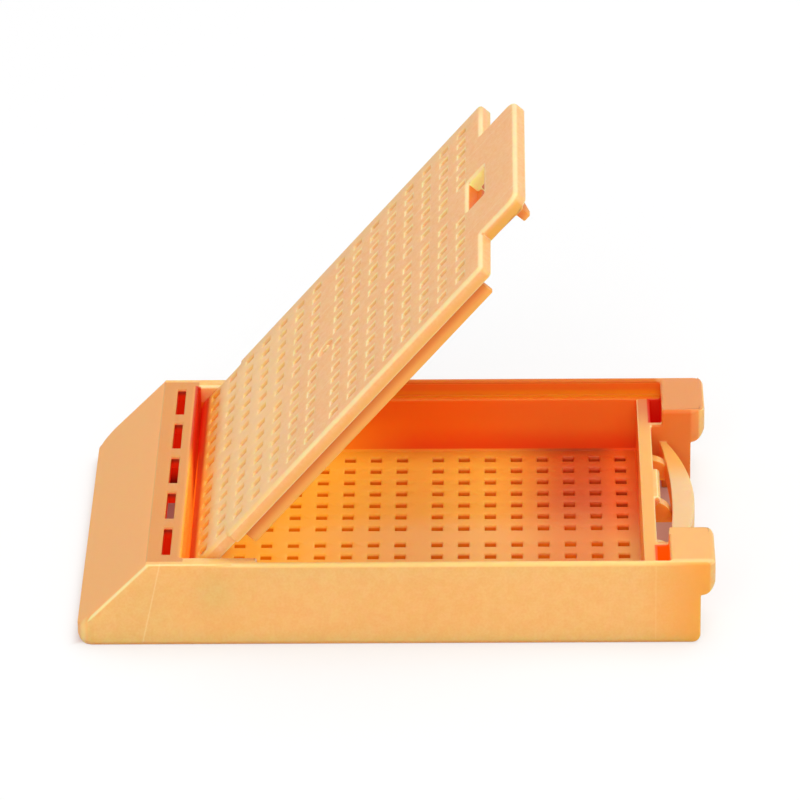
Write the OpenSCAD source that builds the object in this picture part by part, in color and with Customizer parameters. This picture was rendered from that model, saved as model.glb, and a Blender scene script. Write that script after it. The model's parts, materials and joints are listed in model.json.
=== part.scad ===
// Tissue cassette: a perforated tray with a sloped writing face, two gripping ears
// and a spring bow, closed by a perforated lid that turns on two moulded trunnions.
// X runs along the cassette (writing face at -X, ears at +X), Y across it, Z up.
// The origin is on the resting face, in the middle of the length and the width.

/* [Base] */
// Length of the base, writing face to ears
base_l = 41.3; // [34:0.1:50]
// Width of the base over its side walls
base_w = 28.5; // [23.7:0.1:36]
// Height of the base, resting face to wall top
base_h = 5.8; // [4.8:0.1:7.5]
// Thickness of the perforated floor
floor_t = 0.8; // [0.5:0.05:0.9]
// Thickness of the side walls beside the tray
wall_t = 1.1; // [1:0.05:1.4]
// Thickness of the side walls above the ledge that carries the lid
rim_t = 0.45; // [0.35:0.05:0.6]
// Thickness of the tray's rear wall
rear_wall_t = 0.9; // [0.6:0.05:1.2]
// Radius of the upright corners at the writing face
front_r = 1.3; // [0.6:0.1:2]
// Radius of the lower edges at the front and the rear
heel_r = 0.6; // [0.3:0.1:0.8]
// Radius of the lower edges along the sides
foot_r = 0.2; // [0.1:0.05:0.5]

/* [Writing face] */
// Height of the upright lip below the slope, which stands at 45 degrees
lip_h = 1.15; // [0.95:0.05:1.6]
// Length of the flat deck behind the slope
deck_l = 2.25; // [2:0.05:3]
// Thickness of the slope, the deck and the front lip
shell_t = 0.9; // [0.7:0.05:1.1]
// Thickness of the wall between the hollow slope and the tray
front_wall_t = 0.8; // [0.6:0.05:1.2]
// Width of the two ribs in the hollow under the slope
brace_w = 0.8; // [0.5:0.1:1.2]
// Number of slots through the deck
slot_n = 5; // [3:1:7]
// Width of each slot
slot_w = 0.55; // [0.4:0.05:0.9]
// Width of the ribs between the slots
slot_rib = 1.35; // [0.6:0.05:1.8]
// Distance of the outer slots from the tray's side walls
slot_end = 0.45; // [0.1:0.05:0.6]

/* [Ears and spring bow] */
// Length of each ear along the cassette
ear_l = 2.9; // [2.3:0.05:3.2]
// Width of each ear, from the outer face inwards
ear_w = 5.4; // [5:0.05:6.8]
// How far the ears stand out behind the rear face
ear_over = 0.95; // [0.75:0.05:1.15]
// Height of the ear's bulge, from its top down
ear_h = 2.4; // [2:0.1:3]
// Clear depth between the tray's rear wall and the rear face
latch_l = 2.7; // [2.5:0.05:3.3]
// Depth of the bow's upper face below the wall tops
bow_drop = 2.3; // [2.1:0.05:2.6]
// Depth of the bow from its upper face down
bow_h = 1.6; // [1.2:0.1:2]
// How far the bow's middle stands behind its ends
bow_rise = 1.65; // [1.4:0.05:1.9]
// Width of the bow in its middle
bow_t = 1.5; // [1.1:0.05:1.6]
// Width of the bow at its ends
bow_end_t = 0.45; // [0.3:0.05:0.6]
// Width of each bar between the rear wall and the bow
bar_w = 0.9; // [0.6:0.05:1]
// Distance from each ear's inner face to the middle of the outer bar
bar_in = 2.4; // [2:0.1:3]
// Width of the web between the rear wall and each ear block
web_w = 0.6; // [0.4:0.05:0.9]

/* [Holes] */
// Side of the square holes in floor and lid
hole = 0.75; // [0.5:0.05:1]
// Spacing of the holes, both ways
hole_pitch = 1.775; // [1.4:0.025:2.2]
// Spacing of the rows and columns beside the solid middle strips
hole_gap = 2.45; // [2.1:0.05:3]
// Place of the solid strip that runs across, from the tray's rear wall
strip_in = 14.75; // [12:0.05:18]
// Least distance from a hole's centre to the tray's walls
hole_edge = 1.08; // [0.8:0.02:1.5]

/* [Lid] */
// Thickness of the lid plate
lid_t = 0.95; // [0.75:0.05:1.2]
// How far the closed lid's top lies below the wall tops
lid_drop = 0.15; // [0.05:0.05:0.3]
// Gap between the lid's long edges and the rims
lid_gap = 0.3; // [0.15:0.05:0.4]
// Gap between the closed plate and the ledge below it
seat_gap = 0.03; // [0.02:0.01:0.1]
// Depth of the skirt under the plate
skirt_h = 1; // [0.6:0.1:1.3]
// Thickness of the skirt
skirt_t = 0.55; // [0.45:0.05:0.9]
// Gap between the skirt and the tray's walls
skirt_gap = 0.15; // [0.1:0.01:0.3]
// Gap between the hinge cheeks and the lid's wide part
step_gap = 0.8; // [0.5:0.05:1.2]
// Gap between the plate's rear corners and the ear blocks
shoulder_gap = 0.8; // [0.5:0.05:1]
// Gap between the tab and each ear
tab_gap = 0.7; // [0.3:0.05:0.9]
// Distance from the tab's end back to the ears' ends
tab_set = 0.3; // [0.1:0.05:0.5]
// Radius of the tab's corners
tab_r = 0.85; // [0.4:0.05:1.2]
// Width of the window over the catch
window_w = 4.75; // [4:0.05:5.5]
// Length of the window over the catch
window_l = 1.55; // [1.2:0.05:1.7]
// Distance from the rear wall's outer face back to the window's rear edge
window_in = 0.2; // [0.1:0.05:0.4]
// Diameter of the gate mark in the middle strip
gate_d = 1.4; // [1:0.1:1.6]

/* [Hinge] */
// Distance of the hinge axis behind the deck
axis_in = 2.2; // [2.2:0.05:2.6]
// Depth of the hinge axis below the wall tops
axis_drop = 2.3; // [2.1:0.05:2.35]
// Outer radius of the lid's rounded nose
nose_r = 1.5; // [1.3:0.05:1.6]
// Thickness of the nose and of the two cheeks that carry the pins
nose_t = 0.85; // [0.7:0.05:1]
// Radius of the trunnion pins
pin_r = 0.8; // [0.5:0.01:0.97]
// Reach of each pin into its socket
pin_l = 0.4; // [0.3:0.05:0.5]
// Radial and end clearance of the pins in their sockets
pin_gap = 0.05; // [0.03:0.01:0.09]
// How far the base's hinge cheeks reach behind the axis
cheek_l = 2.65; // [2.2:0.05:3]
// Side gap between the lid's narrow end and the hinge cheeks
cheek_gap = 0.15; // [0.1:0.01:0.3]
// How far the lid stands open, in degrees from closed
open_angle = 48.8; // [0:0.1:88]

/* [Catch] */
// How far the nib stands out from the tray's rear wall
nib = 0.4; // [0.25:0.05:0.45]
// Height of the nib
nib_h = 0.8; // [0.6:0.1:1]
// Clearance between the lid's catch and the nib
catch_gap = 0.05; // [0.03:0.01:0.1]
// Thickness of the two catch fingers
catch_t = 0.5; // [0.4:0.05:0.6]
// Reach of the fingers' barbs towards the nib
catch_barb = 0.1; // [0.05:0.01:0.15]
// Reach of the corner hook below the tab
hook_h = 0.75; // [0.5:0.05:1]
// Thickness of the corner hook
hook_t = 0.6; // [0.4:0.05:0.8]
// Width of the corner hook across the cassette
hook_w = 2; // [1.2:0.1:2.6]

/* [Hidden] */
$fn = 64;
eps = 0.01;
cut = 1;
slope_a = 45;
orange = [0.98, 0.62, 0.32];

half_w = base_w / 2;
x_front = -base_l / 2;
x_back = base_l / 2;
x_body = x_back - ear_over;
x_ear = x_back - ear_l;
x_wall = x_body - latch_l;
x_tray = x_wall - rear_wall_t;
x_slope = x_front + (base_h - lip_h) / tan(slope_a);
x_deck = x_slope + deck_l;

tray_y = half_w - wall_t;
rim_y = half_w - rim_t;
ear_y = half_w - ear_w;
lid_top = base_h - lid_drop;
lid_z = lid_top - lid_t;
ledge_z = lid_z - seat_gap;
bow_z = base_h - bow_drop;

hinge_x = x_deck + axis_in;
hinge_z = base_h - axis_drop;
x_cheek = hinge_x + cheek_l;
x_narrow = x_cheek + step_gap;

lid_y = rim_y - lid_gap;
narrow_y = tray_y - cheek_gap;
tab_y = ear_y - tab_gap;
x_tab = x_back - tab_set;
x_shoulder = x_ear - shoulder_gap;
x_window = x_wall + window_in;
x_barb = x_wall + nib + catch_gap;
slot_l = (2 * (tray_y - slot_end) - (slot_n - 1) * slot_rib) / slot_n;
brace_y = tray_y - slot_end - slot_l - slot_rib / 2;
nib_in = 0.2;
nib_y = window_w / 2 - nib_in;

strip_x = x_tray - strip_in;
cols = floor((tray_y - hole_edge - hole_gap / 2) / hole_pitch);
rows_rear = floor((x_tray - hole_edge - strip_x - hole_gap / 2) / hole_pitch);
rows_front = floor((strip_x - hole_gap / 2 - hinge_x) / hole_pitch);
hole_ys = [for (side = [-1, 1], i = [0 : cols]) side * (hole_gap / 2 + i * hole_pitch)];
hole_xs = concat([for (i = [0 : rows_rear]) strip_x + hole_gap / 2 + i * hole_pitch],
                 [for (i = [0 : rows_front]) strip_x - hole_gap / 2 - i * hole_pitch]);

// The floor stays solid at its two front corners: two rows of the two outer columns.
x_blind = strip_x - hole_gap / 2 - (rows_front - 1.5) * hole_pitch;
y_blind = hole_gap / 2 + (cols - 1.5) * hole_pitch;
floor_holes = [for (x = hole_xs, y = hole_ys) if (x > x_blind || abs(y) < y_blind) [x, y]];

// The lid stays solid between the window and the middle strip: two holes are left out.
x_solid = strip_x + hole_gap / 2 + (rows_rear - 0.5) * hole_pitch;
lid_holes = [for (x = hole_xs, y = hole_ys) if (x < x_solid || abs(y) > hole_gap) [x, y]];

// Square corner less its round: cuts a convex corner at the origin to radius r.
module corner_cut(r) {
    difference() {
        translate([-cut, -cut]) square(r + cut);
        translate([r, r]) circle(r);
    }
}

// Extrudes a drawing of the X-Z plane across the part, from y0 to y1.
module across(y0, y1) {
    translate([0, y1, 0]) rotate([90, 0, 0]) linear_extrude(y1 - y0) children();
}

// Draws its children on both sides of the middle plane.
module both_sides() {
    children();
    mirror([0, 1, 0]) children();
}

// Square holes through whatever lies between z0 and z1.
module square_holes(spots, z0, z1) {
    translate([0, 0, z0])
        linear_extrude(z1 - z0)
            for (spot = spots) translate(spot) square(hole, center = true);
}

// Side view of the body: foot, sloped writing face, deck and rear face.
module body_profile() {
    difference() {
        polygon([[x_front, 0], [x_body, 0], [x_body, base_h], [x_slope, base_h], [x_front, lip_h]]);
        translate([x_front, 0]) corner_cut(heel_r);
        translate([x_body, 0]) mirror([1, 0]) corner_cut(heel_r);
    }
}

// Plan of the body, with its two round corners at the writing face.
module body_plan() {
    difference() {
        translate([x_front, -half_w]) square([x_body - x_front, base_w]);
        translate([x_front, -half_w]) corner_cut(front_r);
        translate([x_front, half_w]) mirror([0, 1]) corner_cut(front_r);
    }
}

// Rounds the lower edge along one side.
module foot_edge() {
    translate([x_front - cut, -half_w, 0])
        rotate([90, 0, 90])
            linear_extrude(base_l + 2 * cut) corner_cut(foot_r);
}

// Hollow under the slope and the deck, a shell thickness inside them, open below. Two ribs
// part it into three bays, each under the solid deck between the outer two slots.
module front_hollow() {
    hollow_bay(-tray_y, -brace_y - brace_w / 2);
    hollow_bay(-brace_y + brace_w / 2, brace_y - brace_w / 2);
    hollow_bay(brace_y + brace_w / 2, tray_y);
}

module hollow_bay(y0, y1) {
    x_in = x_front + shell_t;
    top = base_h - shell_t;
    bend = shell_t * tan(slope_a / 2);
    across(y0, y1)
        polygon([[x_in, -eps], [x_deck - front_wall_t, -eps], [x_deck - front_wall_t, top],
                 [x_slope + bend, top], [x_in, lip_h - bend]]);
}

module deck_slots() {
    for (i = [0 : slot_n - 1])
        translate([x_deck - front_wall_t - slot_w, slot_end - tray_y + i * (slot_l + slot_rib),
                   base_h - 2 * shell_t])
            cube([slot_w, slot_l, 3 * shell_t]);
}

// Tray, lid recess, the gap behind the rear wall and the place between the ears.
module base_cavities() {
    translate([x_deck, -tray_y, floor_t]) cube([x_tray - x_deck, 2 * tray_y, base_h]);
    translate([x_cheek, -rim_y, ledge_z]) cube([x_ear - x_cheek, 2 * rim_y, base_h]);
    translate([x_wall, -tray_y, -eps]) cube([x_ear - x_wall, 2 * tray_y, 2 * base_h]);
    translate([x_wall, -ear_y, -eps]) cube([x_back - x_wall, 2 * ear_y, 2 * base_h]);
}

// Overhanging bulge of one ear, with its quarter-round underside.
module ear() {
    top_r = 0.35;
    outer_r = 0.7;
    inner_r = ear_over;
    root = 1;
    z_low = base_h - ear_h;
    x_root = x_body - root;
    intersection() {
        across(ear_y, half_w)
            difference() {
                union() {
                    translate([x_root, z_low]) square([x_body - x_root, ear_h]);
                    translate([x_root, z_low + ear_over]) square([x_back - x_root, ear_h - ear_over]);
                    translate([x_body, z_low + ear_over]) circle(ear_over);
                }
                translate([x_back, base_h]) rotate(180) corner_cut(top_r);
            }
        linear_extrude(base_h)
            difference() {
                translate([x_root, ear_y]) square([x_back - x_root, ear_w]);
                translate([x_back, half_w]) rotate(180) corner_cut(outer_r);
                translate([x_back, ear_y]) mirror([1, 0]) corner_cut(inner_r);
            }
    }
}

// Rounds the ear's upper edge on the side that faces the tab.
module ear_inner_round() {
    edge_r = 0.3;
    translate([x_ear - cut, ear_y, base_h])
        rotate([0, 90, 0])
            linear_extrude(ear_l + 2 * cut) corner_cut(edge_r);
}

// Spring bow: a curved band from ear block to ear block, tied to the rear wall by three bars.
module bow() {
    rise_in = bow_rise - bow_t + bow_end_t;
    r_out = (pow(ear_y, 2) + pow(bow_rise, 2)) / (2 * bow_rise);
    r_in = (pow(ear_y, 2) + pow(rise_in, 2)) / (2 * rise_in);
    translate([0, 0, bow_z - bow_h]) linear_extrude(bow_h)
        intersection() {
            difference() {
                translate([x_body - r_out, 0]) circle(r_out, $fn = 4 * $fn);
                translate([x_body - bow_t - r_in, 0]) circle(r_in, $fn = 8 * $fn);
            }
            translate([x_wall, -ear_y - bow_end_t]) square([latch_l, 2 * (ear_y + bow_end_t)]);
        }
    bow_bar(0);
    both_sides() bow_bar(ear_y - bar_in);
    both_sides() bow_web();
}

// One bar: it leaves the rear wall level and rounds over onto the bow's inner face.
module bow_bar(y) {
    bar_drop = 0.05;
    reach = latch_l - bow_t;
    bar_l = reach + bow_t / 3;
    z_low = bow_z - bow_h;
    across(y - bar_w / 2, y + bar_w / 2)
        intersection() {
            translate([x_wall - eps, z_low]) square([bar_l, bow_h]);
            union() {
                translate([x_wall, bow_z - bar_drop - reach]) circle(reach);
                translate([x_wall - eps, z_low]) square([bar_l, bow_h - bar_drop - reach]);
            }
        }
}

// Web between the rear wall and one ear block, as high as the ledge the lid rests on.
module bow_web() {
    z_low = bow_z - bow_h;
    translate([x_wall - eps, ear_y, z_low])
        cube([x_ear - x_wall + 2 * eps, web_w, ledge_z - z_low]);
}

// Nib on the rear wall, under which the lid's catch comes to rest.
module nib_profile() {
    top_cut = 0.15;
    x_nib = x_wall + nib;
    z_low = ledge_z - nib_h;
    polygon([[x_wall - eps, ledge_z], [x_nib - top_cut, ledge_z], [x_nib, ledge_z - top_cut],
             [x_nib, z_low + nib], [x_wall, z_low], [x_wall - eps, z_low]]);
}

// Blind bore for one trunnion pin.
module pin_socket() {
    depth = pin_l + pin_gap;
    translate([hinge_x, tray_y + depth, hinge_z])
        rotate([90, 0, 0]) cylinder(r = pin_r + pin_gap, h = depth + cut);
}

module base() {
    color(orange)
    difference() {
        union() {
            difference() {
                intersection() {
                    across(-half_w, half_w) body_profile();
                    linear_extrude(base_h) body_plan();
                }
                front_hollow();
                deck_slots();
                base_cavities();
            }
            both_sides() ear();
            bow();
            across(-nib_y, nib_y) nib_profile();
        }
        both_sides() ear_inner_round();
        both_sides() foot_edge();
        both_sides() pin_socket();
        square_holes(floor_holes, -cut, floor_t + cut);
    }
}

// Plan of the lid: wide plate, narrow hinge end and tab.
module lid_plan() {
    plate_r = 0.3;
    difference() {
        union() {
            translate([x_narrow, -lid_y]) square([x_shoulder - x_narrow, 2 * lid_y]);
            translate([hinge_x, -narrow_y]) square([x_narrow - hinge_x + eps, 2 * narrow_y]);
            translate([x_shoulder - eps, -tab_y]) square([x_tab - x_shoulder + eps, 2 * tab_y]);
        }
        for (side = [0, 1]) mirror([0, side]) {
            translate([x_tab, tab_y]) rotate(180) corner_cut(tab_r);
            translate([x_shoulder, lid_y]) rotate(180) corner_cut(plate_r);
            translate([x_narrow, lid_y]) rotate(-90) corner_cut(plate_r);
        }
    }
}

// Side view of the nose: the plate rounds over in front of the axis and runs down to it.
module nose_profile() {
    translate([hinge_x, lid_top - nose_r])
        intersection() {
            difference() {
                circle(nose_r);
                circle(nose_r - nose_t);
            }
            translate([-nose_r, 0]) square([nose_r + eps, nose_r]);
        }
    translate([hinge_x - nose_r, hinge_z]) square([nose_t, lid_top - nose_r - hinge_z + eps]);
}

// Cheek at one end of the nose, which carries the pin.
module nose_cheek() {
    boss_r = pin_r + 0.4;
    across(narrow_y - nose_t, narrow_y) {
        translate([hinge_x, hinge_z]) circle(boss_r);
        translate([hinge_x - boss_r, hinge_z]) square([2 * boss_r, lid_z + eps - hinge_z]);
    }
    translate([hinge_x, tray_y + pin_l, hinge_z])
        rotate([90, 0, 0]) cylinder(r = pin_r, h = pin_l + cheek_gap + nose_t / 2);
}

// Skirt under the plate's long edges, which drops into the tray and keeps the lid square.
module skirt() {
    skirt_set = 0.7;
    y_out = tray_y - skirt_gap;
    x_start = x_narrow + skirt_set;
    translate([x_start, y_out - skirt_t, lid_z - skirt_h])
        cube([x_tray - skirt_gap - x_start, skirt_t, skirt_h + eps]);
}

// Rib that drops in front of the tray's rear wall, partly below the window.
module window_rib() {
    rib_over = 1.5;
    y_out = window_w / 2 + rib_over;
    translate([x_tray - skirt_gap - skirt_t, -y_out, lid_z - skirt_h])
        cube([skirt_t, 2 * y_out, skirt_h]);
}

// One of the two catch fingers that reach down behind the nib, beside the middle bar.
module catch_finger() {
    bar_clear = 0.3;
    barb_h = 0.5;
    x_shank = x_barb + catch_barb;
    z_nib = ledge_z - nib_h;
    z_low = z_nib - barb_h;
    across(bar_w / 2 + bar_clear, nib_y)
        polygon([[x_shank, lid_z + eps], [x_shank, z_nib], [x_barb, z_nib - catch_barb], [x_shank, z_low],
                 [x_shank + catch_t, z_low], [x_shank + catch_t, lid_z + eps]]);
}

// Hook under one rear corner of the tab: a fang that deepens towards the tab's side.
module corner_hook() {
    hook_set = 0.45;
    hook_in = 0.1;
    y_hook = tab_y - hook_in;
    translate([x_tab - hook_set - hook_t, 0, lid_z])
        rotate([90, 0, 90])
            linear_extrude(hook_t)
                polygon([[-y_hook, eps], [-y_hook, -hook_h], [-y_hook + hook_w / 3, -hook_h],
                         [-y_hook + hook_w, 0], [-y_hook + hook_w, eps]]);
}

// Gate mark: a shallow ring sunk into the plate.
module gate_mark() {
    depth = 0.25;
    core_share = 0.42;
    translate([strip_x, 0, lid_top - depth])
        difference() {
            cylinder(d = gate_d, h = cut);
            cylinder(d = gate_d * core_share, h = depth);
        }
}

module lid_closed() {
    difference() {
        union() {
            translate([0, 0, lid_z]) linear_extrude(lid_t)
                difference() {
                    lid_plan();
                    translate([x_window - window_l, -window_w / 2]) square([window_l, window_w]);
                }
            across(-narrow_y, narrow_y) nose_profile();
            both_sides() nose_cheek();
            both_sides() skirt();
            window_rib();
            both_sides() catch_finger();
            corner_hook();
        }
        square_holes(lid_holes, lid_z - cut, lid_top + cut);
        gate_mark();
    }
}

module lid() {
    color(orange)
    translate([hinge_x, 0, hinge_z])
        rotate([0, -open_angle, 0])
            translate([-hinge_x, 0, -hinge_z]) lid_closed();
}

base();
lid();
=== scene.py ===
# A tissue cassette in orange acetal: a perforated base and a perforated lid, two
# mouldings that clip together without any other part. Lengths are in metres: x runs from
# the writing face at the front to the bow at the rear, y from the near side to the far
# side, and z up from the table.
import json
import math

import bmesh
import bpy
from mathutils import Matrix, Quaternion, Vector

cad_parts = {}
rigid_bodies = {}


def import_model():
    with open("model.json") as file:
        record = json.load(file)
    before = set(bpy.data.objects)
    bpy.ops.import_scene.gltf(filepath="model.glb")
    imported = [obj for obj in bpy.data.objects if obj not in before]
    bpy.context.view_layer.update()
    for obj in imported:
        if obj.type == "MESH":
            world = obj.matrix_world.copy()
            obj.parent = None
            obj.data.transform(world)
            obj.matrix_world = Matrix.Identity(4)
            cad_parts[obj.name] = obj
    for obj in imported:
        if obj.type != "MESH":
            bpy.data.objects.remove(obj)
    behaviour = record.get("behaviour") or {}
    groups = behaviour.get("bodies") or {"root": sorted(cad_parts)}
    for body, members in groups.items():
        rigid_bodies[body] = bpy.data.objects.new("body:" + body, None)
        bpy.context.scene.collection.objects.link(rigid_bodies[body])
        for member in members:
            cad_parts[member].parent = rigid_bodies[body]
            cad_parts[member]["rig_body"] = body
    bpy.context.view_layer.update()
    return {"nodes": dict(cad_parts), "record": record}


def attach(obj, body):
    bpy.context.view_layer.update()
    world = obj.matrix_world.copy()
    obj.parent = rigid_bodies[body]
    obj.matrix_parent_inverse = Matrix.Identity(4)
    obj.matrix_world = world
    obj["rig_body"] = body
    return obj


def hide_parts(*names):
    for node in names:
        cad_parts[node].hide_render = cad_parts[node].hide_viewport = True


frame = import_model()

# --- Base -------------------------------------------------------------------
# The base is moulded in acetal in one shot: a perforated tray with a sloped writing face
# in front and a spring bow behind. Its mould is spark eroded to a fine matt grain, and
# every edge leaves the mould slightly rounded.
HOLE, PITCH = 0.00075, 0.001775
STRIP, STRIP_X = 0.00245, 0.00135
COLUMNS_BEHIND, COLUMNS_BEFORE, ROWS_A_SIDE = 8, 7, 7


def hole_lines():
    """Places of the hole columns along the cassette and of the hole rows across it, with
    the middle of the plain strip that parts them each way."""
    columns = [STRIP_X + STRIP / 2 + i * PITCH for i in range(COLUMNS_BEHIND)]
    columns += [STRIP_X - STRIP / 2 - i * PITCH for i in range(COLUMNS_BEFORE)]
    rows = [side * (STRIP / 2 + i * PITCH) for side in (-1, 1) for i in range(ROWS_A_SIDE)]
    return columns + [STRIP_X], rows + [0.0]


EDGE_ROUND, EDGE_STEPS, SKIN_STEPS = 0.00011, 2, 3
TOUCHING = 2e-6
FLAT, SHARP, SHADED_SHARP, SKIN_SHARP = (math.radians(turn) for turn in (1, 30, 40, 50))
PART_RIM = 0.3


def rounded_copy(node, on_skin, stays_sharp, cuts, skin_round):
    """A copy of a moulding with its sharp edges rounded, wider along its upper skin. The
    cuts are planes through the rows of holes, each with the x it starts from, so that no
    flat face is left with a hole. The attribute rim is positive on an edge that stands
    out and negative in a corner."""
    mesh = bmesh.new()
    mesh.from_mesh(frame["nodes"][node].data)
    bmesh.ops.remove_doubles(mesh, verts=mesh.verts, dist=TOUCHING)
    for spot, across, from_x in cuts:
        kept = [part for parts in (mesh.edges, mesh.faces) for part in parts
                if all(v.co.x > from_x - TOUCHING for v in part.verts)]
        kept += [v for v in mesh.verts if v.co.x > from_x - TOUCHING]
        cut = bmesh.ops.bisect_plane(mesh, geom=kept, dist=TOUCHING, plane_co=spot,
                                     plane_no=across)
        for edge in cut["geom_cut"]:
            if isinstance(edge, bmesh.types.BMEdge):
                edge.seam = True
    bmesh.ops.dissolve_limit(mesh, angle_limit=FLAT, verts=mesh.verts, edges=mesh.edges,
                             delimit={"SEAM"})
    rounded = mesh.faces.layers.int.new("rounded")

    def is_hole_wall(face):
        half_holes = [e for e in face.edges if abs(e.calc_length() - HOLE / 2) < TOUCHING]
        return len(face.verts) == 4 and len(half_holes) == 2

    def round_off(edges, width, steps):
        bevelled = bmesh.ops.bevel(mesh, geom=edges, offset=width, offset_type="OFFSET",
                                   affect="EDGES", segments=steps, profile=0.5,
                                   material=-1, clamp_overlap=False)
        for face in bevelled["faces"]:
            bend = sum(e.calc_face_angle_signed(0) for e in face.edges)
            face[rounded] = 1 if bend > 0 else -1

    def sharp_edges():
        return [e for e in mesh.edges if len(e.link_faces) == 2 and e.calc_face_angle() > SHARP]

    def skin_edges():
        return [e for e in sharp_edges() if e.is_convex and all(on_skin(v.co) for v in e.verts)]

    left_for_skin = {e for e in skin_edges() if not any(is_hole_wall(f) for f in e.link_faces)}
    round_off([e for e in sharp_edges() if e not in left_for_skin
               and not all(stays_sharp(v.co) for v in e.verts)], EDGE_ROUND, EDGE_STEPS)
    round_off([e for e in skin_edges() if e.calc_face_angle() > SKIN_SHARP], skin_round,
              SKIN_STEPS)
    bmesh.ops.dissolve_degenerate(mesh, dist=TOUCHING, edges=mesh.edges)
    bmesh.ops.triangulate(mesh, faces=[f for f in mesh.faces if len(f.verts) > 4])
    # The material paints a highlight where rim is positive.
    rim = mesh.loops.layers.float.new("rim")
    for face in mesh.faces:
        face.smooth = True
        for corner in face.loops:
            inside = all(f[rounded] for f in corner.vert.link_faces)
            corner[rim] = face[rounded] * (1.0 if inside else PART_RIM)
    for edge in mesh.edges:
        edge.smooth = len(edge.link_faces) == 2 and edge.calc_face_angle() < SHADED_SHARP
    piece = bpy.data.objects.new(node + "_moulding", bpy.data.meshes.new(node + "_moulding"))
    mesh.to_mesh(piece.data)
    mesh.free()
    bpy.context.scene.collection.objects.link(piece)
    weigh = piece.modifiers.new("flat_faces", "WEIGHTED_NORMAL")
    weigh.keep_sharp = True
    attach(piece, frame["nodes"][node]["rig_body"])
    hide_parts(node)
    return piece


SOFT = 0.00012


class Paint:
    """A socket of a material's node tree, with sums written as Python expressions."""

    def __init__(self, tree, socket=None):
        self.tree, self.socket = tree, socket

    def node(self, kind, settings=None, inputs=None, output=0):
        made = self.tree.nodes.new(kind)
        for name, value in (settings or {}).items():
            setattr(made, name, value)
        for name, value in (inputs or {}).items():
            if isinstance(value, Paint):
                self.tree.links.new(value.socket, made.inputs[name])
            else:
                made.inputs[name].default_value = value
        return Paint(self.tree, made.outputs[output] if len(made.outputs) else None)

    def maths(self, operation, *values):
        return self.node("ShaderNodeMath", {"operation": operation}, dict(enumerate(values)))

    def __add__(self, other):
        return self.maths("ADD", self, other)

    __radd__ = __add__

    def __sub__(self, other):
        return self.maths("SUBTRACT", self, other)

    def __rsub__(self, other):
        return self.maths("SUBTRACT", other, self)

    def __mul__(self, other):
        return self.maths("MULTIPLY", self, other)

    __rmul__ = __mul__

    def __abs__(self):
        return self.maths("ABSOLUTE", self)

    def larger(self, other):
        return self.maths("MAXIMUM", self, other)

    def rise(self, low, high):
        """0 up to low, 1 from high on, smooth between them; low may be the larger."""
        return self.node("ShaderNodeMapRange", {"interpolation_type": "SMOOTHSTEP"},
                         {"Value": self, "From Min": low, "From Max": high})

    def between(self, low, high):
        """1 from low to high, 0 beyond, with soft borders."""
        return self.rise(low - SOFT, low) * self.rise(high + SOFT, high)

    def line(self, middle, half):
        """1 where the value is middle, down to 0 at the distance half on either side."""
        return abs(self - middle).rise(half, 0.0)

    def blend(self, low, high):
        """A colour between low and high, by this value."""
        return self.node("ShaderNodeMix", {"data_type": "RGBA"},
                         {"Factor": self, "A": low, "B": high}, "Result")

    def noise(self, place, size):
        return self.node("ShaderNodeTexNoise", None, {"Vector": place, "Scale": 1 / size})

    def openness(self, distance, only_local=False):
        """1 in the open, less where walls within the distance close the place in."""
        return self.node("ShaderNodeAmbientOcclusion",
                         {"samples": 8, "only_local": only_local}, {"Distance": distance}, "AO")

    def place(self):
        """Where on the piece a spot lies."""
        return self.node("ShaderNodeTexCoord", output="Object")

    def axes(self, place):
        split = self.node("ShaderNodeSeparateXYZ", None, {"Vector": place})
        outputs = split.socket.node.outputs
        return [Paint(self.tree, outputs[i]) for i in range(3)]


GRAIN_SIZE, MOTTLE_SIZE, CLOUD_SIZE = 0.00016, 0.0005, 0.004
GRAIN_SHARE, MOTTLE_SHARE, CLOUD_SHARE = 0.35, 0.35, 0.2
GRAIN_CONTRAST, CLOUD_CONTRAST = (0.35, 0.65), (0.3, 0.7)
GRAIN_DEPTH, GRAIN_STRENGTH = 0.00002, 0.15
SMOOTHEST, GRAIN_ROUGHNESS = 0.42, 0.16
RECESS_REACH, RECESS = 0.006, (0.75, 0.35)
# The edge colour is a painted highlight on rounded outer edges, and also the tone of the real
# mould lines.
EDGE_HIGHLIGHT_AND_MARK, EDGE_HIGHLIGHT_SHARE, MARK_SHARE = (0.98, 0.78, 0.43, 1), 0.7, 0.35
LIGHT_REACH = (0.0018, 0.0006, 0.00015)
NO_GLOW = (0, 0, 0, 1)


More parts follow.
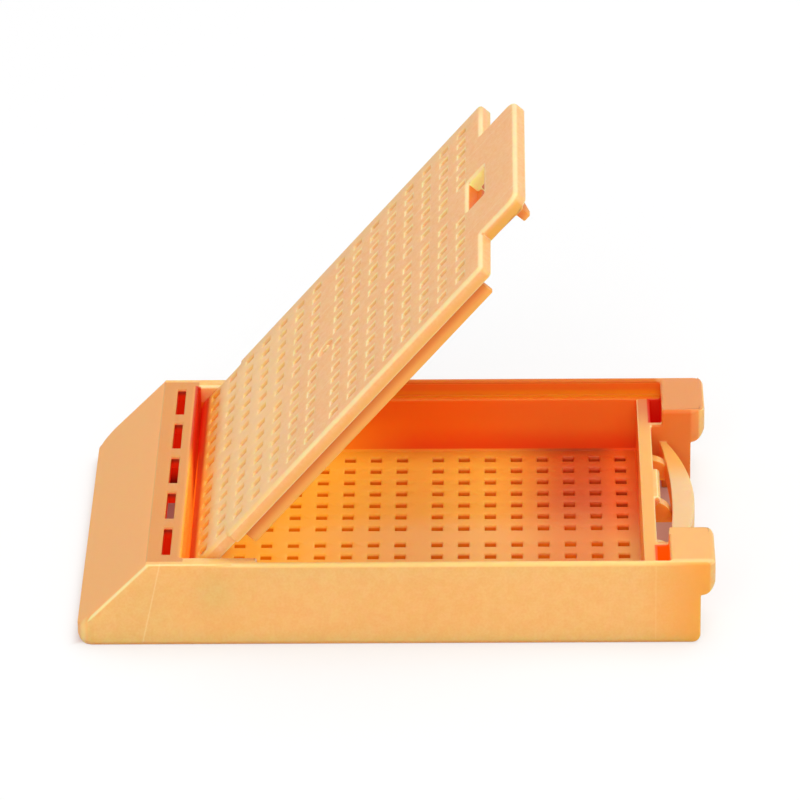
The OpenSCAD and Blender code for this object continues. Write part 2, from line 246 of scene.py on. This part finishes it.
def acetal(name, marks, shade, skin, cloudy, painted_recess):
    """Orange acetal: matt grain, a painted highlight along outer edges, and a painted recess
    tone.
    """
    material = bpy.data.materials.new(name)
    material.use_nodes = True
    material.node_tree.nodes.clear()
    paint = Paint(material.node_tree)
    place = paint.place()
    grain = paint.noise(place, GRAIN_SIZE)
    mottle = paint.noise(place, MOTTLE_SIZE)
    cloud = paint.noise(place, CLOUD_SIZE)
    edge = paint.node("ShaderNodeAttribute", {"attribute_name": "rim"}, None, "Fac")
    recess = paint.openness(RECESS_REACH, only_local=True).rise(*RECESS)
    speckle = (grain.rise(*GRAIN_CONTRAST) * GRAIN_SHARE
               + mottle.rise(*GRAIN_CONTRAST) * MOTTLE_SHARE
               + cloud.rise(*CLOUD_CONTRAST) * CLOUD_SHARE)
    colour = speckle.blend(skin, cloudy)
    # Painted highlight: convex rounded edges are lightened towards cream.
    colour = (edge.rise(0.0, 1.0) * EDGE_HIGHLIGHT_SHARE).blend(colour, EDGE_HIGHLIGHT_AND_MARK)
    colour = (marks(paint, place) * MARK_SHARE).blend(colour, EDGE_HIGHLIGHT_AND_MARK)
    # Painted light and shade in recesses: places closed in by the piece's own walls take the
    # recess colour.
    colour = recess.blend(colour, painted_recess)
    # shade() adds painted light and shade by place, and a painted glow.
    colour, glow = shade(paint, place, colour)
    bump = paint.node("ShaderNodeBump", None, {
        "Height": grain, "Strength": GRAIN_STRENGTH, "Distance": GRAIN_DEPTH})
    # The emission is a painted glow, not a lamp.
    shader = paint.node("ShaderNodeBsdfPrincipled", None, {
        "Base Color": colour, "Roughness": SMOOTHEST + GRAIN_ROUGHNESS * grain, "IOR": 1.48,
        "Normal": bump, "Specular IOR Level": 0.3, "Emission Color": glow,
        "Emission Strength": 1.0, "Subsurface Weight": 0.7, "Subsurface Radius": LIGHT_REACH,
        "Subsurface Scale": 1.0})
    paint.node("ShaderNodeOutputMaterial", None, {"Surface": shader})
    return material


LONG_SIDES = (0.0140, 0.0142)
SLANTED_LINE_X, SLANTED_LINE_HALF, SLANTED_LINE_LEAN = -0.01642, 0.00008, 0.22
UPRIGHT_LINE_X, UPRIGHT_LINE_HALF, UPRIGHT_LINE_SHARE = 0.0168, 0.00007, 0.6


def base_marks(paint, place):
    """Faint witness lines of the mould's inserts on the two long sides."""
    x, y, z = paint.axes(place)
    slanted = (x - SLANTED_LINE_LEAN * z).line(SLANTED_LINE_X, SLANTED_LINE_HALF)
    upright = x.line(UPRIGHT_LINE_X, UPRIGHT_LINE_HALF)
    return (slanted + upright * UPRIGHT_LINE_SHARE) * abs(y).rise(*LONG_SIDES)


# Where the surfaces of the base lie.
BASE_TOP, LEDGE_Z, FLOOR_TOP = 0.0058, 0.00467, 0.0008
SLOPE_X, TRAY_FRONT, TRAY_REAR, WALL_REAR, EAR_X = -0.0160, -0.01375, 0.0161, 0.0170, 0.01775
EAR_Y, TRAY_Y, RIM_Y = 0.00885, 0.01315, 0.01385

# Where the painted light and shade of the outside lie. A pair is a soft border: where the tone
# begins, and where it is full.
FAR_HALF = (-0.001, 0.006)
TOP_SOFT, RIM_TOPS, EAR_TOPS = 0.00008, (0.0055, 0.0056), (0.0172, 0.0178)
SLOPE_SIDES, DECK_SIDES = (0.01415, 0.01405), (0.0139, 0.0137)
DECK_EDGE_FROM, DECK_EDGE_TO = -0.0140, -0.0137
NEAR_RIM_Y, NEAR_RIM_X = (-0.0136, -0.0138), (-0.0150, -0.0070)
FAR_RIM_FROM_Y, FAR_RIM_TO_Y = 0.0138, 0.0141
FAR_RIM_FRONT, FAR_RIM_REAR = (-0.0120, -0.0100), (0.0180, 0.0174)
FOOT_X, FOOT_Y, FOOT_Z = (-0.0198, -0.0202), (-0.0134, -0.0139), (0.0030, 0.0010)
SIDE_FEET_Y, SIDE_FEET_Z = (0.0139, 0.0141), (0.00035, 0.0001)
EAR_SIDES_X, EAR_SIDES_Y = (0.0150, 0.0206), (0.0141, 0.0142)
# Painted light and shade: tones of the one orange plastic for how light falls on each face.
SLOPE_SHADE = (0.97, 0.41, 0.11, 1)
DECK_SHADE = (0.66, 0.285, 0.074, 1)
DECK_EDGE = (0.72, 0.32, 0.08, 1)
NEAR_EAR = (0.86, 0.45, 0.14, 1)
FAR_EAR = (0.71, 0.285, 0.083, 1)
EAR_GOLD = (0.87, 0.375, 0.055, 1)
NEAR_RIM = (0.98, 0.60, 0.22, 1)
FAR_RIM = (0.60, 0.16, 0.0, 1)
FOOT_EDGE = (0.86, 0.33, 0.10, 1)


def outside_light_and_shade(x, y, z, colour):
    """Painted light and shade on the sloped face, the deck behind it, and the tops, sides and
    feet of the walls: lit and shaded tones of the one plastic, a painted highlight on the near
    rim and the front corner, and painted shade on the far rim, the far ears and along the feet.
    """
    side = abs(y)
    top = z.rise(BASE_TOP - SOFT, BASE_TOP - TOP_SOFT)
    slope = x.rise(SLOPE_X, SLOPE_X - SOFT) * side.rise(*SLOPE_SIDES)
    colour = slope.blend(colour, SLOPE_SHADE)
    deck = top * x.between(SLOPE_X, TRAY_FRONT) * side.rise(*DECK_SIDES)
    colour = deck.blend(colour, DECK_SHADE)
    ears = top * x.rise(*EAR_TOPS)
    colour = ears.blend(colour, NEAR_EAR)
    rims = z.rise(*RIM_TOPS)
    near_rim = rims * y.rise(*NEAR_RIM_Y) * x.rise(*NEAR_RIM_X)
    colour = near_rim.blend(colour, NEAR_RIM)
    far_rim = (rims * y.between(FAR_RIM_FROM_Y, FAR_RIM_TO_Y) * x.rise(*FAR_RIM_REAR)
               * x.rise(*FAR_RIM_FRONT))
    colour = far_rim.blend(colour, FAR_RIM)
    deck_edge = (rims * x.between(DECK_EDGE_FROM, DECK_EDGE_TO)
                 * side.rise(TRAY_Y, TRAY_Y - SOFT))
    colour = deck_edge.blend(colour, DECK_EDGE)
    foot = x.rise(*FOOT_X) * y.rise(*FOOT_Y) * z.rise(*FOOT_Z)
    colour = foot.blend(colour, NEAR_RIM)
    colour = (side.rise(*SIDE_FEET_Y) * z.rise(*SIDE_FEET_Z)).blend(colour, FOOT_EDGE)
    colour = (ears * y.rise(*FAR_HALF)).blend(colour, FAR_EAR)
    return (x.rise(*EAR_SIDES_X) * side.rise(*EAR_SIDES_Y)).blend(colour, EAR_GOLD)


# Where and how the tray's painted light, shade and glow lie: the colours are tones of the one
# plastic for how light falls, and the GLOW colours are a painted glow.
RIM_FRONT, RIM_DROP = -0.0089, 0.0003
LEDGE_LEAN, LEDGE_INNER = 0.5, (0.01135, 0.0112)
WALL_UP, WALL_TO_REAR = (0.0010, 0.0030), (0.002, 0.010)
REAR_FACE, REAR_FACE_NEAR = (0.0159, 0.0160), (0.008, 0.0)
REAR_SHADOW_X, REAR_FLOOR = (0.0055, 0.0118), (0.0132, 0.0152)
NEAR_FLOOR, REAR_FLOOR_FAR = (0.004, 0.0), (-0.004, 0.005)
UNDER_LID_REAR, UNDER_LID_FRONT = (0.002, -0.009), (-0.0125, -0.0105)
REAR_TOP_Z, REAR_TOP_FAR_Y = (0.0045, 0.0046), (0.007, 0.012)
RIM_ORANGE = (0.78, 0.26, 0.0, 1)
LEDGE_ORANGE = (0.76, 0.17, 0.005, 1)
WALL_LOW = (0.82, 0.094, 0.0, 1)
WALL_HIGH = (0.87, 0.165, 0.0, 1)
WALL_LOW_REAR = (0.76, 0.07, 0.0, 1)
WALL_HIGH_REAR = (0.82, 0.18, 0.012, 1)
FLOOR_GOLD = (0.98, 0.38, 0.035, 1)
FLOOR_PEACH = (0.98, 0.44, 0.11, 1)
FLOOR_SHADOW_NEAR = (0.74, 0.24, 0.05, 1)
FLOOR_SHADOW = (0.55, 0.082, 0.008, 1)
FLOOR_RED = (0.98, 0.155, 0.014, 1)
FLOOR_GLOW = (0.37, 0.21, 0.008, 1)
HOLE_GOLD = (0.82, 0.21, 0.0, 1)
HOLE_SHADOW = (0.54, 0.06, 0.0, 1)
HOLE_GLOW = (0.16, 0.06, 0.0, 1)
REAR_TOP = (0.86, 0.43, 0.11, 1)
REAR_TOP_FAR = (0.66, 0.22, 0.07, 1)


def tray_light_and_shade(x, y, z, colour):
    """Painted light and shade in the tray: its rim and ledge, its walls, darker towards the
    floor, its floor and holes with a painted shadow over their rear part, and the top of its
    rear wall. The floor under the lid has a painted glow for the light that the lid lets
    through."""
    side = abs(y)
    far = y.rise(*FAR_HALF)
    rims = (side.between(TRAY_Y, RIM_Y) * z.between(LEDGE_Z - SOFT, BASE_TOP - RIM_DROP)
            * x.between(RIM_FRONT, EAR_X))
    ledge = (side - LEDGE_LEAN * z).rise(*LEDGE_INNER)
    colour = rims.blend(colour, ledge.blend(RIM_ORANGE, LEDGE_ORANGE))

    over_tray = (side.rise(TRAY_Y + SOFT, TRAY_Y) * x.between(TRAY_FRONT, TRAY_REAR)
                 * z.rise(0.0, SOFT))
    up = z.rise(*WALL_UP)
    wall = x.rise(*WALL_TO_REAR).blend(up.blend(WALL_LOW, WALL_HIGH),
                                       up.blend(WALL_LOW_REAR, WALL_HIGH_REAR))
    colour = (over_tray * z.between(FLOOR_TOP, LEDGE_Z - SOFT)).blend(colour, wall)
    rear_face = (over_tray * x.rise(*REAR_FACE) * z.rise(FLOOR_TOP, FLOOR_TOP + SOFT)
                 * y.rise(*REAR_FACE_NEAR))
    colour = rear_face.blend(colour, FLOOR_PEACH)

    # Painted shadow over the rear part of the floor and its holes.
    rear_shadow = x.rise(*REAR_SHADOW_X)
    gold_floor = y.rise(*NEAR_FLOOR).blend(FLOOR_GOLD, FLOOR_PEACH)
    shadowed_floor = x.rise(*REAR_FLOOR).blend(
        far.blend(FLOOR_SHADOW_NEAR, FLOOR_SHADOW),
        y.rise(*REAR_FLOOR_FAR).blend(FLOOR_PEACH, FLOOR_RED))
    floor = over_tray * z.between(FLOOR_TOP - SOFT, FLOOR_TOP + SOFT)
    colour = floor.blend(colour, rear_shadow.blend(gold_floor, shadowed_floor))
    holes = over_tray * z.rise(FLOOR_TOP - SOFT, FLOOR_TOP - 2 * SOFT)
    colour = holes.blend(colour, (rear_shadow * far).blend(HOLE_GOLD, HOLE_SHADOW))
    # Painted glow on the floor and holes under the lid.
    under_lid = (over_tray * z.rise(LEDGE_Z, FLOOR_TOP + SOFT) * x.rise(*UNDER_LID_REAR)
                 * x.rise(*UNDER_LID_FRONT))
    glow = under_lid.blend(NO_GLOW, holes.blend(FLOOR_GLOW, HOLE_GLOW))

    rear_top = (x.between(TRAY_REAR + SOFT, WALL_REAR - SOFT)
                * side.rise(TRAY_Y, TRAY_Y - SOFT) * z.rise(*REAR_TOP_Z))
    colour = rear_top.blend(colour, y.rise(*REAR_TOP_FAR_Y).blend(REAR_TOP, REAR_TOP_FAR))
    return colour, glow


# Painted shade and painted glow in the pocket and the slots.
POCKET_FAR, POCKET_GLOW_Z, POCKET_GLOW_Y = (0.0, 0.005), (0.0057, 0.0054), (-0.002, 0.006)
SLOTS_FRONT, SLOTS_REAR = -0.0156, -0.0140
SLOT_GLOW_TOP, SLOT_GLOW_FOOT = (0.0056, 0.0052), (0.0010, 0.0022)
POCKET_RED = (0.58, 0.03, 0.0, 1)
POCKET_GLOW = (0.28, 0.11, 0.01, 1)
POCKET_GLOW_FAR = (0.20, 0.004, 0.0, 1)
SLOT_RED = (0.30, 0.02, 0.0, 1)
SLOT_GLOW = (0.44, 0.006, 0.0, 1)


def slot_light_and_shade(x, y, z, colour, glow):
    """Painted light, shade and glow at the front of the pocket that the lid's nose sits in, and
    in the slots in the deck.
    """
    across = abs(y).rise(TRAY_Y + SOFT, TRAY_Y)
    above = z.rise(0.0, SOFT)
    pocket = x.between(TRAY_FRONT - SOFT, TRAY_FRONT + SOFT) * across * above
    colour = pocket.blend(colour, y.rise(*POCKET_FAR).blend(FLOOR_GOLD, POCKET_RED))
    pocket_glow = y.rise(*POCKET_GLOW_Y).blend(POCKET_GLOW, POCKET_GLOW_FAR)
    glow = (pocket * z.rise(*POCKET_GLOW_Z)).blend(glow, pocket_glow)
    slots = (x.between(SLOTS_FRONT, SLOTS_REAR) * across * above
             * z.rise(BASE_TOP - SOFT, BASE_TOP - 2 * SOFT))
    colour = slots.blend(colour, SLOT_RED)
    glow = (slots * z.rise(*SLOT_GLOW_TOP) * z.rise(*SLOT_GLOW_FOOT)).blend(glow, SLOT_GLOW)
    return colour, glow


# Where and how the painted light, shade and glow behind the tray lie; the colours are tones of
# the one plastic for how light falls.
GAP_Y, GAP_Z = 0.0094, (LEDGE_Z + 0.0009, LEDGE_Z + 0.0008)
BULGE_X = (0.0196, 0.0198)
BOW_UNDER, BOW_OVER, BOW_FAR = (0.0036, 0.0035), (0.00335, 0.00342), (0.002, 0.006)
BOW_CURVE, BARS_REAR = 21, (0.0196, 0.0192)
FACING_UP = (0.3, 0.7)
GAP_GLOW = (0.33, 0.0, 0.0, 1)
GAP_GLOW_NEAR = (0.72, 0.07, 0.0, 1)
EAR_SHADE = (0.76, 0.20, 0.025, 1)
BULGE_SHADE = (0.82, 0.28, 0.06, 1)
BAR_GOLD = (0.93, 0.34, 0.04, 1)
BAR_PALE = (0.93, 0.50, 0.17, 1)
BOW_CREAM = (0.80, 0.54, 0.27, 1)
BOW_PEACH = (0.84, 0.40, 0.085, 1)


def bow_light_and_shade(paint, x, y, z, colour, glow):
    """Painted glow and shade in the gaps behind the rear wall, painted shade on the ears' inner
    faces, and painted light and shade on the bow and its bars, paler where they face up.
    """
    side = abs(y)
    gap = x.between(WALL_REAR - SOFT, EAR_X) * side.between(GAP_Y, TRAY_Y) * z.rise(*GAP_Z)
    colour = gap.blend(colour, SLOT_RED)
    glow = gap.blend(glow, y.rise(*FAR_HALF).blend(GAP_GLOW_NEAR, GAP_GLOW))
    behind_wall = x.rise(WALL_REAR, WALL_REAR + SOFT)
    inner_ear = side.between(EAR_Y - SOFT, EAR_Y + SOFT) * behind_wall
    colour = inner_ear.blend(colour, x.rise(*BULGE_X).blend(EAR_SHADE, BULGE_SHADE))
    in_bow = side.rise(EAR_Y, EAR_Y - SOFT) * behind_wall * z.rise(*BOW_UNDER)
    # Painted highlight: faces of the bars that face up are paler.
    upward = paint.axes(paint.node("ShaderNodeTexCoord", output="Normal"))[2]
    bars = in_bow * (x + BOW_CURVE * y * y).rise(*BARS_REAR)
    colour = bars.blend(colour, upward.rise(*FACING_UP).blend(BAR_GOLD, BAR_PALE))
    bow_top = in_bow * z.rise(*BOW_OVER)
    colour = bow_top.blend(colour, y.rise(*BOW_FAR).blend(BOW_CREAM, BOW_PEACH))
    return colour, glow


def base_shade(paint, place, colour):
    """Painted light, shade and glow by place on the base: lit and shaded tones outside, redder
    painted shade inside the tray, and a golden painted glow on its floor.
    """
    x, y, z = paint.axes(place)
    colour = outside_light_and_shade(x, y, z, colour)
    colour, glow = tray_light_and_shade(x, y, z, colour)
    colour, glow = slot_light_and_shade(x, y, z, colour, glow)
    return bow_light_and_shade(paint, x, y, z, colour, glow)


DECK_SLOTS = (-0.01515, -0.01452)


def on_base_skin(spot):
    """True on the wall tops, the deck, the slope and the ears' tops, clear of the slots."""
    slope_z = BASE_TOP - max(0.0, SLOPE_X - spot.x)
    return abs(spot.z - slope_z) < TOUCHING and not DECK_SLOTS[0] < spot.x < DECK_SLOTS[1]


def nowhere(spot):
    """No sharp edge of the base stays sharp."""
    return False


BASE_SKIN_ROUND = 0.0002
WHOLE_LENGTH = -1.0
BASE_SKIN = (0.885, 0.535, 0.19, 1)
BASE_CLOUDY = (0.85, 0.45, 0.128, 1)
# Painted shade for the base's recesses.
BASE_RECESS_SHADE = (0.90, 0.10, 0.005, 1)
hinge = frame["record"]["behaviour"]["joints"][0]
HINGE_X, HINGE_Z = hinge["pos_m"][0], hinge["pos_m"][2]
columns, rows = hole_lines()
base_cuts = [((x, 0, 0), (1, 0, 0), WHOLE_LENGTH)
             for x in columns + [sum(DECK_SLOTS) / 2, HINGE_X]]
base_cuts += [((0, y, 0), (0, 1, 0), HINGE_X) for y in rows]
base = rounded_copy("base", on_base_skin, nowhere, base_cuts, BASE_SKIN_ROUND)
base.data.materials.append(
    acetal("base_acetal", base_marks, base_shade, BASE_SKIN, BASE_CLOUDY, BASE_RECESS_SHADE))

# --- Lid --------------------------------------------------------------------
# The lid comes from a second cavity of the same mould, in the same plastic. Its rounded
# nose turns on two moulded pins between the cheeks of the base. The inserts that form its
# holes leave faint lines on top.
OPEN = math.radians(-hinge["range_deg"][0])
PLATE_TOP, PLATE_UNDER = 0.00215, 0.0012


def lid_along(x, z):
    """Distance from the hinge axis, along the lid's plate."""
    return (x - HINGE_X) * math.cos(OPEN) + (z - HINGE_Z) * math.sin(OPEN)


def lid_height(x, z):
    """Height over the hinge axis, square to the lid's plate."""
    return (z - HINGE_Z) * math.cos(OPEN) - (x - HINGE_X) * math.sin(OPEN)


INSERT_Y, INSERT_HALF, LID_TOP = 0.0062, 0.00008, (0.0020, 0.0021)


def lid_marks(paint, place):
    """Faint lines of the hole inserts, along the lid."""
    x, y, z = paint.axes(place)
    return abs(y).line(INSERT_Y, INSERT_HALF) * lid_height(x, z).rise(*LID_TOP)


# Where the painted light and shade of the lid lie, with pairs as on the base. The pairs named
# CLOSED_IN are in openness, so those tones come and go as the lid turns.
ROOT_ALONG, ROOT_HEIGHT, LID_FAR_Y = (0.012, 0.006), (0.0019, 0.0020), (0.0105, 0.0135)
BORDER_Y, BORDER_HEIGHT = (0.01345, 0.01352), (0.0019, 0.0014)
TAB_FROM_Y, TAB_TO_Y, TAB_ALONG, TAB_HEIGHT = 0.0080, 0.0082, (0.0285, 0.0286), (0.0020, 0.0016)
SKIRT_HEIGHT = (0.0010, 0.0004)
WINDOW_Y, WINDOW_FAR_Y = (0.00245, 0.00240), (0.0021, 0.0023)
WINDOW_FROM, WINDOW_TO = 0.02715, 0.0288
NOSE_REACH, NOSE_HEIGHT = 0.003, (0.0008, 0.0013)
NOSE_ALONG, NOSE_CLOSED_IN = (0.0026, 0.0008), (0.97, 0.86)
FRONT_ALONG, FRONT_CLOSED_IN = (0.0004, -0.0002), (0.75, 0.5)
FRONT_FAR_Y, FRONT_GLOW_Y = (0.003, 0.006), (0.001, 0.006)
LINE_FRONT, LINE_REAR, LINE_HEIGHT = (-0.0006, -0.0003), (0.0006, 0.0001), (0.0016, 0.0019)
LINE_CLOSED_IN, LINE_DARK_Y = (0.85, 0.65), (0.006, 0.002)
# Painted tones of the one plastic for how light falls on the lid, and a painted glow.
LID_ROOT = (0.99, 0.58, 0.25, 1)
LID_FAR = (0.85, 0.51, 0.22, 1)
EDGE_GOLD = (0.89, 0.43, 0.11, 1)
TAB_GOLD = (0.83, 0.43, 0.09, 1)
UNDER_LID = (0.70, 0.22, 0.035, 1)
SKIRT_EDGE = (0.90, 0.39, 0.085, 1)
WINDOW_SHADE = (0.84, 0.21, 0.02, 1)
WINDOW_CREAM = (1.0, 0.82, 0.30, 1)
NOSE_GOLD = (0.94, 0.37, 0.05, 1)
NOSE_ORANGE = (0.86, 0.22, 0.02, 1)
NOSE_RED = (0.58, 0.01, 0.0, 1)
NOSE_SHADOW_LINE = (0.55, 0.045, 0.004, 1)
NOSE_GLOW = (0.22, 0.06, 0.0, 1)
NOSE_GLOW_FAR = (0.20, 0.0, 0.0, 1)


def lid_shade(paint, place, colour):
    """Painted light and shade on the lid: a paler root and a darker far side, painted tones on
    its edges, painted shade under the plate, painted light and shade in the window, and on the
    nose, wherever the base closes it in, painted shade, a painted shadow line and a painted
    glow."""
    x, y, z = paint.axes(place)
    side, along, height = abs(y), lid_along(x, z), lid_height(x, z)
    colour = (along.rise(*ROOT_ALONG) * height.rise(*ROOT_HEIGHT)).blend(colour, LID_ROOT)
    colour = y.rise(*LID_FAR_Y).blend(colour, LID_FAR)
    in_plate = height.between(PLATE_UNDER, PLATE_TOP)
    border = side.rise(*BORDER_Y) * in_plate * height.rise(*BORDER_HEIGHT)
    colour = border.blend(colour, EDGE_GOLD)
    tab_side = (side.between(TAB_FROM_Y, TAB_TO_Y) * along.rise(*TAB_ALONG) * in_plate
                * height.rise(*TAB_HEIGHT))
    colour = tab_side.blend(colour, TAB_GOLD)
    # Painted shade under the plate.
    under = height.rise(PLATE_UNDER, PLATE_UNDER - SOFT)
    colour = under.blend(colour, height.rise(*SKIRT_HEIGHT).blend(UNDER_LID, SKIRT_EDGE))
    window = (side.rise(*WINDOW_Y) * along.between(WINDOW_FROM, WINDOW_TO)
              * height.rise(PLATE_TOP - SOFT, PLATE_TOP - 2 * SOFT))
    colour = window.blend(colour, y.rise(*WINDOW_FAR_Y).blend(WINDOW_SHADE, WINDOW_CREAM))

    # On the nose, painted shade, a painted glow and a painted shadow line come where the base
    # closes it in.
    openness = paint.openness(NOSE_REACH)
    on_nose = height.rise(*NOSE_HEIGHT)
    nose = along.rise(*NOSE_ALONG) * on_nose * openness.rise(*NOSE_CLOSED_IN)
    colour = nose.blend(colour, NOSE_GOLD)
    front = along.rise(*FRONT_ALONG) * on_nose * openness.rise(*FRONT_CLOSED_IN)
    colour = front.blend(colour, y.rise(*FRONT_FAR_Y).blend(NOSE_ORANGE, NOSE_RED))
    glow = front.blend(NO_GLOW, y.rise(*FRONT_GLOW_Y).blend(NOSE_GLOW, NOSE_GLOW_FAR))
    # A painted shadow line where the nose meets the pocket.
    root_shadow_line = (along.rise(*LINE_FRONT) * along.rise(*LINE_REAR) * height.rise(*LINE_HEIGHT)
                 * openness.rise(*LINE_CLOSED_IN))
    colour = root_shadow_line.blend(colour, NOSE_SHADOW_LINE)
    return colour, (root_shadow_line * y.rise(*LINE_DARK_Y)).blend(glow, NO_GLOW)


SKIN_CLOSE, RIB_CLOSE = 3e-6, 1e-5
GATE_ALONG, GATE_CLEAR = 0.0129, 0.001
RIB_ALONG = 0.02695


def on_lid_skin(spot):
    """True on the plate's upper face, clear of the gate mark."""
    gate = math.hypot(lid_along(spot.x, spot.z) - GATE_ALONG, spot.y) < GATE_CLEAR
    return abs(lid_height(spot.x, spot.z) - PLATE_TOP) < SKIN_CLOSE and not gate


def at_window_rib(spot):
    """True on the foot of the rib below the window, which all but meets a row of holes."""
    return (abs(lid_along(spot.x, spot.z) - RIB_ALONG) < RIB_CLOSE
            and abs(lid_height(spot.x, spot.z) - PLATE_UNDER) < RIB_CLOSE)


LID_SKIN_ROUND = 0.00027
LID_SKIN = (0.97, 0.53, 0.23, 1)
LID_CLOUDY = (0.935, 0.44, 0.157, 1)
# Painted light for the lid's recesses: paler and yellower than its plastic.
LID_RECESS_LIGHT = (0.93, 0.57, 0.28, 1)
along_lid = Vector((math.cos(OPEN), 0, math.sin(OPEN)))
lid_cuts = [(Vector((HINGE_X, 0, HINGE_Z)) + (x - HINGE_X) * along_lid, along_lid, WHOLE_LENGTH)
            for x in columns + [HINGE_X]]
lid_cuts += [((0, y, 0), (0, 1, 0), WHOLE_LENGTH) for y in rows]
lid = rounded_copy("lid", on_lid_skin, at_window_rib, lid_cuts, LID_SKIN_ROUND)
lid.data.materials.append(
    acetal("lid_acetal", lid_marks, lid_shade, LID_SKIN, LID_CLOUDY, LID_RECESS_LIGHT))

# --- Table ------------------------------------------------------------------
# A white paper table top. It shows as white, keeps the cassette's shadow, and below the cassette
# has painted shade with an orange tint, standing in for the light that comes through the
# plastic.
TABLE_SIZE = 3.0
UNDER_MIDDLE, UNDER_X, UNDER_Y = -0.0007, 0.0199, 0.0138
TINT_INSIDE, TINT_OUTSIDE_X, TINT_OUTSIDE_Y = 0.001, 0.0006, 0.0004
PAPER, PAPER_UNDER_SHADE = (0.82, 0.82, 0.82, 1), (0.95, 0.60, 0.50, 1)
WHITE, WHITE_UNDER_SHADE = (1, 1, 1, 1), (0.26, 0.11, 0.085, 1)
PAPER_GLOW, GLOW_SHARE = 1.12, 0.5
table_mesh = bmesh.new()
bmesh.ops.create_grid(table_mesh, x_segments=1, y_segments=1, size=TABLE_SIZE / 2)
table = bpy.data.objects.new("table", bpy.data.meshes.new("table"))
table_mesh.to_mesh(table.data)
table_mesh.free()
bpy.context.scene.collection.objects.link(table)
paper = bpy.data.materials.new("white_paper")
paper.use_nodes = True
paper.node_tree.nodes.clear()
sheet = Paint(paper.node_tree)


def seen_directly(paint):
    """1 for what the camera, a gloss or a clear part shows, 0 for light that falls on things."""
    ray = paint.node("ShaderNodeLightPath").socket.node.outputs
    camera_ray, gloss_ray, clear_ray = [
        Paint(paint.tree, ray[name])
        for name in ("Is Camera Ray", "Is Glossy Ray", "Is Transmission Ray")]
    return camera_ray.larger(gloss_ray.larger(clear_ray))


sheet_x, sheet_y, _ = sheet.axes(sheet.place())
beside = abs(sheet_x - UNDER_MIDDLE).rise(UNDER_X - TINT_INSIDE, UNDER_X + TINT_OUTSIDE_X)
beside = beside.larger(abs(sheet_y).rise(UNDER_Y - TINT_INSIDE, UNDER_Y + TINT_OUTSIDE_Y))
# Under the cassette the paper takes painted shade with an orange tint.
matt = sheet.node("ShaderNodeBsdfDiffuse", None, {"Color": beside.blend(PAPER_UNDER_SHADE, PAPER)})
bright = sheet.node("ShaderNodeEmission", None, {
    "Color": beside.blend(WHITE_UNDER_SHADE, WHITE), "Strength": PAPER_GLOW})
surface = sheet.node("ShaderNodeMixShader", None, {
    0: seen_directly(sheet) * GLOW_SHARE, 1: matt, 2: bright})
sheet.node("ShaderNodeOutputMaterial", None, {"Surface": surface})
table.data.materials.append(paper)

# --- Light ------------------------------------------------------------------
# A large soft ceiling of light, a second soft light in front, and white air that shows as
# full white but lights the cassette less.
AIR_LIGHT = 0.45
world = bpy.data.worlds.new("studio")
bpy.context.scene.world = world
world.use_nodes = True
world.node_tree.nodes.clear()
air = Paint(world.node_tree)
backdrop = air.node("ShaderNodeBackground", None, {
    "Color": WHITE, "Strength": AIR_LIGHT + (1 - AIR_LIGHT) * seen_directly(air)})
air.node("ShaderNodeOutputWorld", None, {"Surface": backdrop})


def softbox(name, place, size, power):
    """A square soft light at place, turned to the cassette."""
    lamp = bpy.data.lights.new(name, "AREA")
    lamp.shape, lamp.size, lamp.energy = "SQUARE", size, power
    box = bpy.data.objects.new(name, lamp)
    box.location = place
    box.rotation_euler = (-Vector(place)).to_track_quat("-Z", "Y").to_euler()
    bpy.context.scene.collection.objects.link(box)


softbox("ceiling", place=(0.25, 0.15, 0.85), size=0.8, power=5.0)
softbox("front", place=(-0.05, -0.9, 0.5), size=0.7, power=4.6)

# --- Camera -----------------------------------------------------------------
# A long lens in front of the cassette and above it, level with the front edge but for a
# small lean.
CAMERA_PLACE, LOOKS_AT = (0.006763, -0.387128, 0.190702), (0.00022, 0, 0.0108)
LENS_MM, SENSOR_MM, LEAN = 291.13, 36, -0.0122
NEAREST, FARTHEST = 0.05, 10
camera = bpy.data.objects.new("camera", bpy.data.cameras.new("camera"))
bpy.context.scene.collection.objects.link(camera)
bpy.context.scene.camera = camera
camera.data.sensor_width = SENSOR_MM
camera.data.lens = LENS_MM
camera.data.clip_start, camera.data.clip_end = NEAREST, FARTHEST
camera.location = CAMERA_PLACE
look = (Vector(LOOKS_AT) - camera.location).to_track_quat("-Z", "Y")
camera.rotation_euler = (look @ Quaternion((0, 0, 1), LEAN)).to_euler()

bpy.context.scene.view_settings.view_transform = "Standard"
